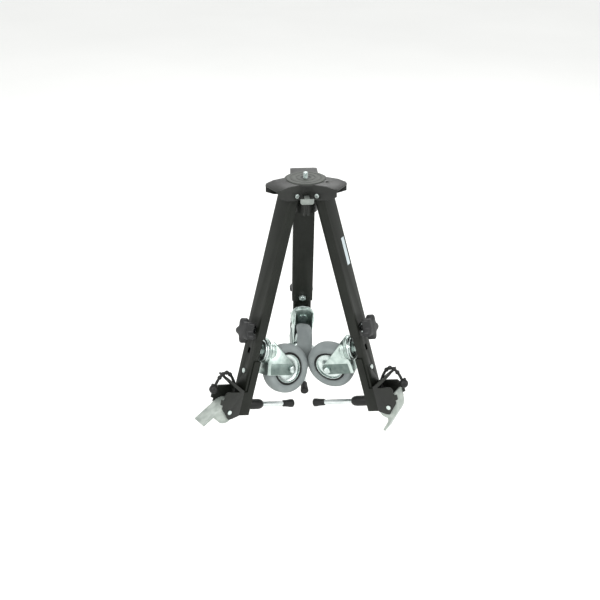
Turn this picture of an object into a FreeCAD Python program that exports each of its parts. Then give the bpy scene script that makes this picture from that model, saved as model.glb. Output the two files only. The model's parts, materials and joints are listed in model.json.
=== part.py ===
"""Folding three-arm dolly for a camera tripod: a hub with a camera stud, three telescoping arms that fold
down together, and at each arm's end a swivel caster, a foot clamp with a rubber strap and a pedal jack.

Axes: origin at the centre of the camera pad's top face, on the hub's axis; +Z up; the rear arm is towards
+Y, and the front latch faces -Y.  An arm's pieces are drawn in the arm's own frame: x from the hinge along
the arm to its end, z away from the hub's axis, y across the arm.  Millimetres and degrees.
"""
import FreeCAD, Part
import math
import os
import re

import Sketcher

Vector = FreeCAD.Vector
Rotation = FreeCAD.Rotation
Placement = FreeCAD.Placement

doc = FreeCAD.newDocument("folding_tripod_dolly")
sheet = doc.addObject("Spreadsheet::Sheet", "Sizes")

SIZES = [
    # arms as a whole
    ("fold_angle", 16.0, "angle of a folded arm from the vertical"),
    ("arm_radius", 31.0, "arm centreline's distance from the hub's axis, at the pad's height"),
    ("hinge_drop", 23.0, "arm hinge pin below the pad's top"),
    # camera pad and stud
    ("pad_radius", 38.5, "camera pad"),
    ("pad_thickness", 1.8, "camera pad"),
    ("ring_outer", 30.0, "outer ring groove on the pad, mean radius"),
    ("ring_inner", 18.0, "inner ring groove on the pad, mean radius"),
    ("ring_width", 1.4, "ring groove"),
    ("ring_depth", 0.6, "ring groove"),
    ("recess_radius", 10.0, "round recess about the stud"),
    ("recess_depth", 1.0, "round recess about the stud"),
    ("stud_radius", 4.7625, "3/8 inch camera stud"),
    ("stud_height", 11.5, "stud above the pad"),
    ("stud_shank_radius", 5.0, "stud's plain shank below the pad's recess"),
    ("stud_shoulder", 0.3, "plain shank above the recess's floor"),
    ("stud_root", 18.0, "stud's flange face below the pad's top"),
    ("stud_flange_radius", 9.0, "stud's flange"),
    ("stud_flange", 4.0, "thickness of the stud's flange"),
    # hub cover
    ("cover_thickness", 3.5, "cast cover's wall"),
    ("ear_gap", 0.4, "between an arm and each side wall of its lobe"),
    ("ear_thickness", 4.6, "side wall of a lobe, which holds the hinge pin"),
    ("plate_radius", 41.0, "cover's round middle under the pad"),
    ("lobe_start", 57.0, "where a lobe starts to slope down"),
    ("lobe_end", 78.0, "lobe's end"),
    ("lobe_drop", 4.5, "height that a lobe slopes down"),
    ("lobe_corner", 6.0, "cut corner at a lobe's end"),
    ("wall_end", 21.0, "side wall's lower edge below the pad's top, at the lobe's end"),
    ("wall_middle", 29.0, "side wall's lower edge further in"),
    ("wall_bottom", 32.0, "side wall's lower edge beside the hinge"),
    ("drain_radius", 3.0, "small round hole in one lobe"),
    ("drain_reach", 46.0, "small hole's distance from the hub's axis"),
    # hub core
    ("boss_radius", 23.0, "centre boss"),
    ("boss_bottom", 66.0, "boss's lower end below the pad's top"),
    ("rib_half_gap", 2.5, "half the gap between the latch guide ribs"),
    ("rib_width", 3.5, "latch guide rib"),
    ("rib_reach", 26.0, "rib's face from the hub's axis"),
    ("rib_overhang", 3.5, "ribs below the boss"),
    ("hinge_pin_radius", 4.0, "arm hinge pin"),
    ("running_gap", 0.05, "radial clearance of a pin in its hole"),
    ("pin_head_radius", 4.3, "arm hinge pin's head"),
    ("pin_head", 2.0, "thickness of the hinge pin's head"),
    # release latch
    ("latch_half", 13.0, "half width of the latch's finger tab"),
    ("latch_top", 24.5, "finger tab's upper edge below the pad's top"),
    ("latch_bottom", 37.0, "finger tab's lower edge below the pad's top"),
    ("latch_face", 52.0, "finger tab's face from the hub's axis"),
    ("latch_thickness", 2.5, "latch plate"),
    ("latch_chamfer", 3.0, "finger tab's lower corners"),
    ("latch_bar_half", 4.8, "half width of the latch's bar"),
    ("latch_travel", 4.0, "how far the latch presses in"),
    # arm tube
    ("tube_width", 42.6, "arm tube across"),
    ("tube_depth", 20.0, "arm tube from inner to outer face"),
    ("tube_wall", 2.0, "arm tube"),
    ("tube_back", 9.5, "arm tube's end behind the hinge"),
    ("tube_reach", 297.0, "arm tube's open end from the hinge"),
    # clamp knob
    ("clamp_reach", 284.9, "clamp knob's axis from the hinge"),
    ("notch_half", 10.0, "half width of the tube's notch at the knob"),
    ("notch_length", 24.5, "length of that notch"),
    ("clamp_radius", 4.0, "clamp bolt"),
    ("clamp_nut_flats", 13.0, "clamp nut across its flats"),
    ("clamp_nut_height", 6.5, "clamp nut"),
    ("clamp_washer_radius", 8.5, "clamp washer"),
    ("clamp_washer", 1.6, "thickness of the clamp washer"),
    ("knob_boss_radius", 8.0, "knob's boss"),
    ("knob_boss", 10.5, "length of the knob's boss"),
    ("knob_height", 16.0, "star knob"),
    ("knob_radius", 26.0, "star knob at a lobe's tip"),
    ("knob_waist", 18.5, "star knob between two lobes"),
    # telescoping slide
    ("slide_width", 37.2, "slide across"),
    ("slide_depth", 14.6, "slide from inner to outer face"),
    ("slide_wall", 1.8, "slide"),
    ("slide_start", 161.4, "slide's hidden end from the hinge"),
    ("slide_end", 409.4, "slide's outer end from the hinge"),
    ("extension", 100.0, "how far the slide draws out"),
    ("slot_half", 4.5, "half width of the slide's clamp slot"),
    ("access_length", 12.0, "oblong access hole over the caster stem"),
    ("access_width", 8.0, "oblong access hole over the caster stem"),
    # end bracket
    ("bracket_start", 343.4, "end bracket's start from the hinge"),
    ("bracket_end", 457.9, "end bracket's end from the hinge"),
    ("bracket_wall", 2.5, "end bracket's sides"),
    ("bracket_web", 2.8, "end bracket's back"),
    ("bracket_back", 13.0, "back's outer face from the arm's centreline"),
    ("bracket_side_low", 2.0, "low stretch of the bracket's sides, above the centreline"),
    ("bracket_side_high", 10.0, "high stretch of the bracket's sides, above the centreline"),
    ("bracket_step", 408.4, "where the bracket's sides get higher"),
    ("bracket_screw_reach", 369.4, "bracket screw from the hinge"),
    ("bracket_screw_radius", 3.0, "bracket screw"),
    ("bracket_screw_head", 5.0, "radius of the bracket screw's head"),
    # caster
    ("stem_reach", 325.9, "caster stem's axis from the hinge"),
    ("stem_radius", 6.0, "caster stem"),
    ("stem_hole_gap", 0.1, "caster stem in its hole"),
    ("stem_nut_flats", 18.0, "caster nut across its flats"),
    ("stem_nut_height", 7.8, "caster nut"),
    ("stem_washer_radius", 12.0, "caster washer"),
    ("stem_washer", 1.8, "thickness of the caster washer"),
    ("race_top", 10.0, "caster's upper race below the slide's face"),
    ("race_height", 8.0, "caster's upper race"),
    ("race_radius", 26.0, "caster's upper race"),
    ("race_gap", 0.6, "between the two races"),
    ("king_radius", 7.0, "caster's king pin"),
    ("king_head_radius", 11.0, "king pin's head"),
    ("king_head", 3.2, "thickness of the king pin's head"),
    ("crown_radius", 25.0, "fork's crown"),
    ("crown_height", 7.5, "fork's crown with its race"),
    ("crown_wall", 3.0, "fork's crown plate"),
    ("fork_half", 20.9, "fork leg's outer face from the wheel's middle"),
    ("fork_wall", 2.5, "fork leg"),
    ("axle_drop", 77.0, "axle below the slide's face"),
    ("caster_trail", 36.0, "axle's offset from the swivel axis"),
    ("fork_lobe", 12.5, "round end of a fork leg about the axle"),
    ("fork_back_top", 21.0, "top of the fork's back plate below the slide's face"),
    ("fork_back_height", 2.5, "thickness of the fork's back plate"),
    ("swivel_left", 15.0, "left caster's lean about its stem"),
    ("swivel_right", 10.0, "right caster's lean about its stem"),
    ("swivel_rear", 9.0, "rear caster's lean about its stem"),
    # wheel
    ("wheel_radius", 50.0, "wheel"),
    ("tyre_half", 16.0, "half width of the tyre"),
    ("tyre_crown_half", 7.0, "half width of the tyre's tread crown"),
    ("tyre_inner", 36.0, "tyre's inner radius"),
    ("rim_half", 12.5, "half width of the rim at the tyre"),
    ("rim_web_half", 4.0, "half thickness of the rim's disc"),
    ("rim_wall", 3.0, "rim under the tyre"),
    ("wheel_hub_radius", 10.0, "wheel's hub"),
    ("wheel_hub_half", 17.6, "half width of the wheel's hub"),
    ("axle_radius", 4.0, "wheel axle bolt"),
    ("axle_flats", 13.0, "axle bolt's head and nut across their flats"),
    ("axle_head", 5.0, "axle bolt's head"),
    ("axle_nut", 6.5, "axle bolt's nut"),
    # foot clamp, pedal and jack
    ("pivot_reach", 450.7, "pedal pin from the hinge"),
    ("pivot_height", 35.0, "pedal pin above the arm's centreline"),
    ("pivot_radius", 3.0, "pedal pin"),
    ("pivot_head_radius", 4.6, "pedal pin's head"),
    ("pivot_head", 1.8, "thickness of the pedal pin's head"),
    ("cheek_wall", 3.9, "foot clamp's cheeks"),
    ("clamp_start", 405.4, "foot clamp's near end from the hinge"),
    ("clamp_floor_end", 422.4, "end of the foot clamp's floor from the hinge"),
    ("clamp_floor", 4.0, "foot clamp's floor"),
    ("clamp_height", 52.0, "top of the foot clamp's cheeks above the centreline"),
    ("jaw_lean", 25.0, "how far the jaw leans towards the hub"),
    ("jaw_rise", 40.0, "jaw's height above the floor"),
    ("jaw_wall", 4.5, "jaw"),
    ("jaw_gap_half", 7.5, "half the gap between the jaw's two prongs"),
    ("hook_height", 6.5, "strap hooks above the cheeks"),
    ("pedal_half", 16.9, "half width of the pedal"),
    ("cam_radius", 19.0, "pedal's round cam"),
    ("cam_reach", 7.0, "cam's centre from the pivot, along the arm"),
    ("cam_drop", 6.5, "cam's centre below the pivot with the pedal pressed"),
    ("cam_gap", 0.6, "between the cam and the pusher"),
    ("pedal_angle", 85.7, "pedal's swing from pressed to released"),
    ("toe_reach", 54.8, "pedal's tip from the pivot, along the arm when pressed"),
    ("toe_drop", 24.0, "pedal's tip below the pivot when pressed"),
    ("toe_thickness", 5.5, "pedal's plate"),
    ("tail_reach", 27.0, "pedal's tail behind the pivot when pressed"),
    ("tail_height", 19.0, "pedal's tail above the pivot when pressed"),
    ("rod_reach", 443.4, "jack rod's axis from the hinge"),
    ("rod_radius", 5.0, "jack rod"),
    ("rod_gap", 0.3, "between the jack rod and its guides"),
    ("rod_length", 142.0, "jack rod below the pusher"),
    ("pusher_height", 5.0, "pusher on the rod's upper end"),
    ("pusher_half", 8.0, "half width of the pusher"),
    ("pusher_back", 5.5, "pusher behind the rod's axis"),
    ("pusher_front", 17.0, "pusher past the rod's axis"),
    ("sleeve_radius", 10.7, "rubber sleeve on the jack rod"),
    ("sleeve_length", 42.0, "rubber sleeve on the jack rod"),
    ("cap_radius", 8.5, "rubber cap at its end"),
    ("cap_neck", 6.6, "rubber cap at its mouth"),
    ("cap_length", 25.0, "rubber cap"),
    ("cap_floor", 7.0, "rubber under the rod's end"),
    ("spring_outer", 6.3, "return spring's outer radius"),
    ("spring_inner", 5.4, "return spring's inner radius"),
    # strap
    ("strap_radius", 3.0, "rubber strap"),
    ("bead_radius", 4.6, "bead on the strap"),
    ("ball_radius", 9.2, "ball at the strap's end"),
]

ALIASES = [name for name, value, note in SIZES]
for row, (name, value, note) in enumerate(SIZES, start=1):
    sheet.set("A%d" % row, name)
    sheet.set("B%d" % row, str(value))
    sheet.set("C%d" % row, note)
    sheet.setAlias("B%d" % row, name)
doc.recompute()

WORD = re.compile(r"\b(" + "|".join(sorted(ALIASES, key=len, reverse=True)) + r")\b")


def size(name):
    """A driving size as a number."""
    return float(sheet.get(name))


def bound(text):
    """An expression whose sizes are read from the sheet."""
    return WORD.sub(r"Sizes.\1", text)


# ---------------------------------------------------------------- sketches and features


def polygon(*corners):
    """A closed outline through corners, each a pair of expressions."""
    return ("polygon", corners)


def circle(radius, x="0", y="0"):
    """A circle, its radius and centre given as expressions."""
    return ("circle", radius, x, y)


def rectangle(x0, y0, x1, y1):
    return polygon((x0, y0), (x1, y0), (x1, y1), (x0, y1))


def hexagon(flats, x="0", y="0"):
    """A hexagon, from its size across the flats, with a corner towards +x."""
    corner = "(%s) / sqrt(3)" % flats
    return polygon(*[("%s + %s * cos(%d)" % (x, corner, turn), "%s + %s * sin(%d)" % (y, corner, turn))
                     for turn in range(0, 360, 60)])


def locate(sketch, piece, point, x, y):
    """Ties a point of the sketch to its origin by two bound distances."""
    for kind, value in (("DistanceX", x), ("DistanceY", y)):
        index = sketch.addConstraint(Sketcher.Constraint(kind, -1, 1, piece, point, 1.0))
        sketch.setExpression("Constraints[%d]" % index, bound(value))


def draw(sketch, outline):
    if outline[0] == "circle":
        radius, x, y = outline[1:]
        piece = sketch.addGeometry(Part.Circle(Vector(1, 1, 0), Vector(0, 0, 1), 1.0), False)
        locate(sketch, piece, 3, x, y)
        index = sketch.addConstraint(Sketcher.Constraint("Radius", piece, 1.0))
        sketch.setExpression("Constraints[%d]" % index, bound(radius))
        return
    corners = outline[1]
    count = len(corners)
    start = [Vector(math.cos(2 * math.pi * i / count), math.sin(2 * math.pi * i / count), 0)
             for i in range(count)]
    lines = [sketch.addGeometry(Part.LineSegment(start[i], start[(i + 1) % count]), False)
             for i in range(count)]
    for i in range(count):
        after = lines[(i + 1) % count]
        sketch.addConstraint(Sketcher.Constraint("Coincident", lines[i], 2, after, 1))
    for line, (x, y) in zip(lines, corners):
        locate(sketch, line, 1, x, y)


def sketch_on(body, plane, outlines, level="0"):
    """A sketch on one of the body's origin planes, or parallel to it at a level along the plane's normal.

    The normals are +Z for XY_Plane, -Y for XZ_Plane and +X for YZ_Plane.
    """
    sketch = body.newObject("Sketcher::SketchObject", body.Name + "_sketch")
    base = [o for o in body.Origin.OriginFeatures if o.Role == plane][0]
    sketch.AttachmentSupport = [(base, "")]
    sketch.MapMode = "FlatFace"
    sketch.setExpression("AttachmentOffset.Base.z", bound(level))
    for outline in outlines:
        draw(sketch, outline)
    return sketch


def new_body(label, placement=None):
    body = doc.addObject("PartDesign::Body", label)
    body.Label = label
    if placement is not None:
        body.Placement = placement
    return body


def pad(body, plane, outlines, length, level="0", middle=False):
    """Adds the outlines' prism, from the level along the plane's normal, or to both sides of it."""
    feature = body.newObject("PartDesign::Pad", body.Name + "_pad")
    feature.Profile = sketch_on(body, plane, outlines, level)
    feature.setExpression("Length", bound(length))
    if middle:
        feature.SideType = "Symmetric"
    return feature


def pocket(body, plane, outlines, length, level="0"):
    """Cuts the outlines' prism, as far to each side of the level as half the length."""
    doc.recompute()
    before = body.Shape.Volume
    feature = body.newObject("PartDesign::Pocket", body.Name + "_pocket")
    feature.Profile = sketch_on(body, plane, outlines, level)
    feature.setExpression("Length", bound(length))
    feature.SideType = "Symmetric"
    doc.recompute()
    if body.Shape.Volume > before - 0.01:
        raise RuntimeError("a pocket in %s cuts nothing" % body.Label)
    return feature


def revolve(body, plane, outline):
    """Turns an outline about the sketch's vertical axis."""
    feature = body.newObject("PartDesign::Revolution", body.Name + "_turned")
    profile = sketch_on(body, plane, [outline])
    feature.Profile = profile
    feature.ReferenceAxis = (profile, ["V_Axis"])
    feature.Angle = 360.0
    return feature


def around(body, originals, count):
    """Repeats features evenly about the body's Z axis."""
    pattern = body.newObject("PartDesign::PolarPattern", body.Name + "_pattern")
    pattern.Originals = originals
    pattern.Axis = ([o for o in body.Origin.OriginFeatures if o.Role == "Z_Axis"][0], [""])
    pattern.Angle = 360.0
    pattern.Occurrences = count
    body.Tip = pattern
    return pattern


ALONG = {"z": Rotation(), "x": Rotation(Vector(0, 1, 0), 90), "y": Rotation(Vector(1, 0, 0), -90)}


def primitive(kind, name, sizes, at=("0", "0", "0"), direction="z", turn=0.0):
    """A Part primitive with bound sizes and place, its height along a direction."""
    shape = doc.addObject("Part::" + kind, name)
    for prop, value in sizes.items():
        shape.setExpression(prop, bound(value))
    shape.Placement = Placement(Vector(), ALONG[direction].multiply(Rotation(Vector(0, 0, 1), turn)))
    for letter, value in zip("xyz", at):
        shape.setExpression("Placement.Base." + letter, bound(value))
    return shape


def cylinder(name, radius, height, at=("0", "0", "0"), direction="z"):
    return primitive("Cylinder", name, {"Radius": radius, "Height": height}, at, direction)


def hex_prism(name, flats, height, at=("0", "0", "0"), direction="z", turn=0.0):
    shape = primitive("Prism", name, {"Circumradius": "(%s) / sqrt(3)" % flats, "Height": height},
                      at, direction, turn)
    shape.Polygon = 6
    return shape


def fuse(name, shapes):
    joined = doc.addObject("Part::MultiFuse", name)
    joined.Shapes = shapes
    return joined


def cut(name, base, tool):
    result = doc.addObject("Part::Cut", name)
    result.Base = base
    result.Tool = tool
    return result


def group(label, shapes, placement):
    """Separate solids that share one node."""
    node = doc.addObject("Part::Compound", label)
    node.Label = label
    node.Links = shapes
    node.Placement = placement
    return node


NODES = []


def keep(node):
    NODES.append(node)
    return node


# ---------------------------------------------------------------- places

ARMS = {"rear": 90.0, "left": 210.0, "right": 330.0}
PRESSED = {"rear": False, "left": False, "right": True}


def hinge_radius():
    """Arm hinge's distance from the hub's axis: it lies on the folded arm's centreline."""
    return size("arm_radius") + size("hinge_drop") * math.tan(math.radians(size("fold_angle")))


def turned(axis, degrees):
    return Placement(Vector(), Rotation(axis, degrees))


def moved(x, y, z):
    return Placement(Vector(x, y, z), Rotation())


def arm_frame(arm):
    """From an arm's own frame to the dolly's, with the arm folded."""
    hinge = moved(hinge_radius(), 0, -size("hinge_drop"))
    folded = turned(Vector(0, 1, 0), 90 - size("fold_angle"))
    return turned(Vector(0, 0, 1), ARMS[arm]).multiply(hinge).multiply(folded)


def caster_frame(arm):
    """Swivel axis on z, mounting face at z 0, axle trailing towards +x."""
    stem = moved(size("stem_reach"), 0, -size("slide_depth") / 2)
    lean = turned(Vector(0, 0, 1), size("swivel_" + arm))
    return arm_frame(arm).multiply(stem).multiply(lean)


def wheel_frame(arm):
    """Axle on y."""
    return caster_frame(arm).multiply(moved(size("caster_trail"), 0, -size("axle_drop")))


def pedal_frame(arm):
    """Pin on y, the pedal drawn as pressed."""
    swing = 0.0 if PRESSED[arm] else -size("pedal_angle")
    pivot = moved(size("pivot_reach"), 0, size("pivot_height"))
    return arm_frame(arm).multiply(pivot).multiply(turned(Vector(0, 1, 0), swing))


def rod_top(arm):
    """Height of the pusher's face: the cam's lowest point, less the gap."""
    cam = -size("cam_drop") if PRESSED[arm] else size("cam_drop")
    return size("pivot_height") + cam - size("cam_radius") - size("cam_gap")


def rod_frame(arm):
    """Jack rod's axis on z, the pusher's face at z 0."""
    return arm_frame(arm).multiply(moved(size("rod_reach"), 0, rod_top(arm)))


# ---------------------------------------------------------------- hub

HINGE = "(arm_radius + hinge_drop * tan(fold_angle))"


def camera_pad():
    """Round black pad that the tripod head sits on, with two ring grooves and a recess."""
    body = new_body("camera_pad")
    revolve(body, "XZ_Plane", polygon(
        ("stud_shank_radius + 0.2", "-pad_thickness"),
        ("pad_radius", "-pad_thickness"),
        ("pad_radius", "-1"),
        ("pad_radius - 1", "0"),
        ("ring_outer + ring_width / 2", "0"),
        ("ring_outer + ring_width / 2", "-ring_depth"),
        ("ring_outer - ring_width / 2", "-ring_depth"),
        ("ring_outer - ring_width / 2", "0"),
        ("ring_inner + ring_width / 2", "0"),
        ("ring_inner + ring_width / 2", "-ring_depth"),
        ("ring_inner - ring_width / 2", "-ring_depth"),
        ("ring_inner - ring_width / 2", "0"),
        ("recess_radius", "0"),
        ("recess_radius", "-recess_depth"),
        ("stud_shank_radius + 0.2", "-recess_depth")))
    return body


def head_stud():
    """3/8 inch stud with a flange below the cover and a rounded tip."""
    body = new_body("head_stud")
    revolve(body, "XZ_Plane", polygon(
        ("0", "-stud_root - stud_flange"),
        ("stud_flange_radius", "-stud_root - stud_flange"),
        ("stud_flange_radius", "-stud_root"),
        ("stud_shank_radius", "-stud_root"),
        ("stud_shank_radius", "-recess_depth + stud_shoulder"),
        ("stud_radius", "-recess_depth + stud_shoulder"),
        ("stud_radius", "stud_height - 1.5"),
        ("stud_radius - 1.5", "stud_height"),
        ("0", "stud_height")))
    return body


def hub_cover():
    """Cast cover: a round middle and three lobes, each a channel whose side walls hold an arm's hinge pin."""
    body = new_body("hub_cover", turned(Vector(0, 0, 1), 90))
    top = "-pad_thickness"
    half = "(tube_width / 2 + ear_gap + ear_thickness)"
    root = "(tube_width / 2 + ear_gap) / sqrt(3)"
    pad(body, "XY_Plane", [circle("plate_radius")], "cover_thickness", top + " - cover_thickness")
    lobe = pad(body, "XZ_Plane", [polygon(
        ("0", top),
        ("lobe_start", top),
        ("lobe_end", top + " - lobe_drop"),
        ("lobe_end", top + " - lobe_drop - cover_thickness"),
        ("lobe_start - 1", top + " - cover_thickness"),
        ("0", top + " - cover_thickness"))], "2 * " + half, middle=True)
    walls = []
    for side in (1, -1):
        level = half + " - ear_thickness" if side < 0 else "-" + half
        walls.append(pad(body, "XZ_Plane", [polygon(
            (root, top + " - cover_thickness / 2"),
            ("lobe_start", top + " - cover_thickness / 2"),
            ("lobe_end - 1", top + " - lobe_drop - cover_thickness / 2"),
            ("lobe_end - 1", "-wall_end"),
            ("lobe_start + 2", "-wall_middle"),
            ("lobe_start - 14", "-wall_bottom"),
            (root, "-wall_bottom"))], "ear_thickness", level))
    around(body, [lobe] + walls, 3)
    corners = [pocket(body, "XY_Plane", [polygon(
        ("lobe_end - lobe_corner", "%d * (%s + 1)" % (side, half)),
        ("lobe_end + 1", "%d * (%s + 1)" % (side, half)),
        ("lobe_end + 1", "%d * (%s - lobe_corner)" % (side, half)))], "4 * wall_bottom")
        for side in (1, -1)]
    bores = pocket(body, "XZ_Plane", [circle("hinge_pin_radius + running_gap", HINGE, "-hinge_drop")],
                   "2 * tube_width")
    around(body, corners + [bores], 3)
    pocket(body, "XY_Plane", [circle("stud_shank_radius + 0.2")], "2 * pad_thickness + cover_thickness", top)
    pocket(body, "XY_Plane",
           [circle("drain_radius", "drain_reach * cos(240)", "drain_reach * sin(240)")],
           "4 * cover_thickness", top)
    pocket(body, "YZ_Plane", [rectangle(
        "-latch_bar_half - 0.6", "-latch_top - 2 - latch_thickness - 1",
        "latch_bar_half + 0.6", "-latch_top - 0.5")], "50", "-boss_radius - 25")
    return body


def hub_core():
    """Black casting under the cover: the centre boss, with the latch's guide ribs."""
    body = new_body("hub_core", turned(Vector(0, 0, 1), 90))
    pad(body, "XY_Plane", [circle("boss_radius")], "boss_bottom - pad_thickness - cover_thickness",
        "-boss_bottom")
    for side in (1, -1):
        pad(body, "XY_Plane", [rectangle(
            "-rib_reach", "%d * rib_half_gap" % side,
            "-boss_radius + 3", "%d * (rib_half_gap + rib_width)" % side)],
            "boss_bottom + rib_overhang - latch_bottom - 2", "-boss_bottom - rib_overhang")
    pocket(body, "XY_Plane", [circle("stud_shank_radius + 0.2")], "2 * stud_root + 2 * stud_flange", "0")
    pocket(body, "XY_Plane", [circle("stud_flange_radius + 0.3")], "2 * stud_flange",
           "-stud_root - stud_flange + 0.01")
    return body


def hinge_pins():
    """Three arm hinge pins, each with a head outside both walls of its lobe."""
    pieces = []
    half = "(tube_width / 2 + ear_gap + ear_thickness)"
    for number, turn in enumerate(ARMS.values()):
        shapes = [cylinder("hinge_shank_%d" % number, "hinge_pin_radius", "2 * " + half,
                           ("0", "-" + half, "0"), "y")]
        for side, start in (("a", half), ("b", "-%s - pin_head" % half)):
            shapes.append(cylinder("hinge_head_%d_%s" % (number, side), "pin_head_radius", "pin_head",
                                   ("0", start, "0"), "y"))
        pin = fuse("hinge_pin_%d" % number, shapes)
        pin.Placement = turned(Vector(0, 0, 1), turn).multiply(moved(hinge_radius(), 0, -size("hinge_drop")))
        pieces.append(pin)
    return group("hinge_pins", pieces, Placement())


def release_latch():
    """Stamped latch under the front flange: a finger tab, and a bar that reaches to the centre boss."""
    body = new_body("release_latch", turned(Vector(0, 0, 1), 90))
    pad(body, "YZ_Plane", [polygon(
        ("-latch_half", "-latch_top - 1.5"),
        ("latch_half", "-latch_top - 1.5"),
        ("latch_half", "-latch_bottom + latch_chamfer"),
        ("latch_half - latch_chamfer", "-latch_bottom"),
        ("-latch_half + latch_chamfer", "-latch_bottom"),
        ("-latch_half", "-latch_bottom + latch_chamfer"))], "latch_thickness", "-latch_face")
    pad(body, "XY_Plane", [rectangle(
        "-latch_face", "-latch_bar_half",
        "-boss_radius - latch_travel - 1", "latch_bar_half")], "latch_thickness",
        "-latch_top - 1.5 - latch_thickness")
    return body


# ---------------------------------------------------------------- one arm, from the hub outwards


def arm_tube(arm):
    """Outer tube of flat rectangular section, notched under the clamp knob."""
    body = new_body("arm_tube_" + arm, arm_frame(arm))
    pad(body, "YZ_Plane", [
        rectangle("-tube_width / 2", "-tube_depth / 2", "tube_width / 2", "tube_depth / 2"),
        rectangle("-tube_width / 2 + tube_wall", "-tube_depth / 2 + tube_wall",
                  "tube_width / 2 - tube_wall", "tube_depth / 2 - tube_wall")],
        "tube_reach + tube_back", "-tube_back")
    pocket(body, "XY_Plane", [rectangle("tube_reach - notch_length", "-notch_half",
                                        "tube_reach + 1", "notch_half")],
           "2 * tube_wall", "tube_depth / 2")
    pocket(body, "XZ_Plane", [circle("hinge_pin_radius + running_gap")], "2 * tube_width")
    pocket(body, "XY_Plane", [circle("clamp_radius + running_gap", "clamp_reach")],
           "2 * tube_wall + 1", "-tube_depth / 2 + tube_wall / 2")
    return body


def clamp_knob(arm):
    """Five-lobed plastic star knob moulded on a bolt, with its washer on the slide's face."""
    body = new_body("clamp_knob_" + arm, arm_frame(arm).multiply(moved(size("clamp_reach"), 0, 0)))
    seat = "slide_depth / 2 + 0.3"
    star = []
    for lobe in range(5):
        for turn, radius in ((-11, "knob_radius"), (11, "knob_radius"), (36, "knob_waist")):
            angle = 72 * lobe + turn
            star.append(("%s * cos(%d)" % (radius, angle), "%s * sin(%d)" % (radius, angle)))
    base = seat + " + clamp_washer + knob_boss"
    pad(body, "XY_Plane", [polygon(*star)], "knob_height", base)
    pad(body, "XY_Plane", [circle("knob_boss_radius")], "knob_boss + 1", seat + " + clamp_washer")
    pad(body, "XY_Plane", [circle("clamp_washer_radius")], "clamp_washer", seat)
    pad(body, "XY_Plane", [circle("clamp_radius")],
        "tube_depth / 2 + clamp_nut_height + 1.5 + %s + 1" % seat,
        "-tube_depth / 2 - clamp_nut_height - 1.5")
    return body


def clamp_nut(arm):
    """Hexagon nut held on the arm's inner face, on the knob's bolt."""
    place = arm_frame(arm).multiply(moved(size("clamp_reach"), 0, 0))
    nut = cut("clamp_nut_" + arm,
              hex_prism("nut_blank_" + arm, "clamp_nut_flats", "clamp_nut_height",
                        ("0", "0", "-tube_depth / 2 - clamp_nut_height")),
              cylinder("nut_bore_" + arm, "clamp_radius + running_gap", "clamp_nut_height + 2",
                       ("0", "0", "-tube_depth / 2 - clamp_nut_height - 1")))
    nut.Label = "clamp_nut_" + arm
    nut.Placement = place
    return nut


def arm_slide(arm):
    """Inner tube that telescopes in the arm tube: clamp slot, caster stem hole, access hole, screw hole."""
    body = new_body("arm_slide_" + arm, arm_frame(arm))
    pad(body, "YZ_Plane", [
        rectangle("-slide_width / 2", "-slide_depth / 2", "slide_width / 2", "slide_depth / 2"),
        rectangle("-slide_width / 2 + slide_wall", "-slide_depth / 2 + slide_wall",
                  "slide_width / 2 - slide_wall", "slide_depth / 2 - slide_wall")],
        "slide_end - slide_start", "slide_start")
    pocket(body, "XY_Plane", [rectangle("clamp_reach - extension - slot_half - 0.5", "-slot_half",
                                        "clamp_reach + slot_half + 0.5", "slot_half")],
           "2 * slide_depth")
    pocket(body, "XY_Plane", [circle("stem_radius + stem_hole_gap", "stem_reach")],
           "2 * slide_wall", "-slide_depth / 2")
    pocket(body, "XY_Plane", [rectangle("stem_reach - access_length / 2", "-access_width / 2",
                                        "stem_reach + access_length / 2", "access_width / 2")],
           "2 * slide_wall", "slide_depth / 2")
    pocket(body, "XY_Plane", [circle("bracket_screw_radius + running_gap", "bracket_screw_reach")],
           "2 * slide_depth")
    return body


def end_bracket(arm):
    """Bent channel about the slide's end, which carries the foot clamp and guides the jack rod."""
    body = new_body("end_bracket_" + arm, arm_frame(arm))
    pad(body, "XY_Plane", [rectangle("bracket_start", "-tube_width / 2", "bracket_end", "tube_width / 2")],
        "bracket_web", "-bracket_back")
    for side in (1, -1):
        level = "-tube_width / 2" if side > 0 else "tube_width / 2 - bracket_wall"
        pad(body, "XZ_Plane", [polygon(
            ("bracket_start", "-bracket_back"),
            ("bracket_end", "-bracket_back"),
            ("bracket_end", "bracket_side_high"),
            ("bracket_step", "bracket_side_high"),
            ("bracket_step", "bracket_side_low"),
            ("bracket_start", "bracket_side_low"))], "bracket_wall", level)
    pocket(body, "XY_Plane", [circle("rod_radius + rod_gap", "rod_reach")], "4 * bracket_web",
           "-bracket_back")
    pocket(body, "XY_Plane", [circle("bracket_screw_radius + running_gap", "bracket_screw_reach")],
           "4 * bracket_web", "-bracket_back")
    return body


def caster_stem(arm):
    """Threaded stem, upper ball race and king pin of the caster, which stay with the arm."""
    body = new_body("caster_stem_" + arm, caster_frame(arm))
    low = "-race_top - race_height"
    crown = low + " - race_gap - crown_height"
    revolve(body, "XZ_Plane", polygon(
        ("0", "slide_depth / 2 - slide_wall"),
        ("stem_radius", "slide_depth / 2 - slide_wall"),
        ("stem_radius", "-stem_washer - stem_nut_height"),
        ("race_radius - 11", "-race_top"),
        ("race_radius - 4", "-race_top - 0.5"),
        ("race_radius - 1.5", "-race_top - 3"),
        ("race_radius", "-race_top - 5"),
        ("race_radius", low),
        ("king_radius", low),
        ("king_radius", crown),
        ("king_head_radius", crown),
        ("king_head_radius", crown + " - king_head"),
        ("0", crown + " - king_head")))
    return body


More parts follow.
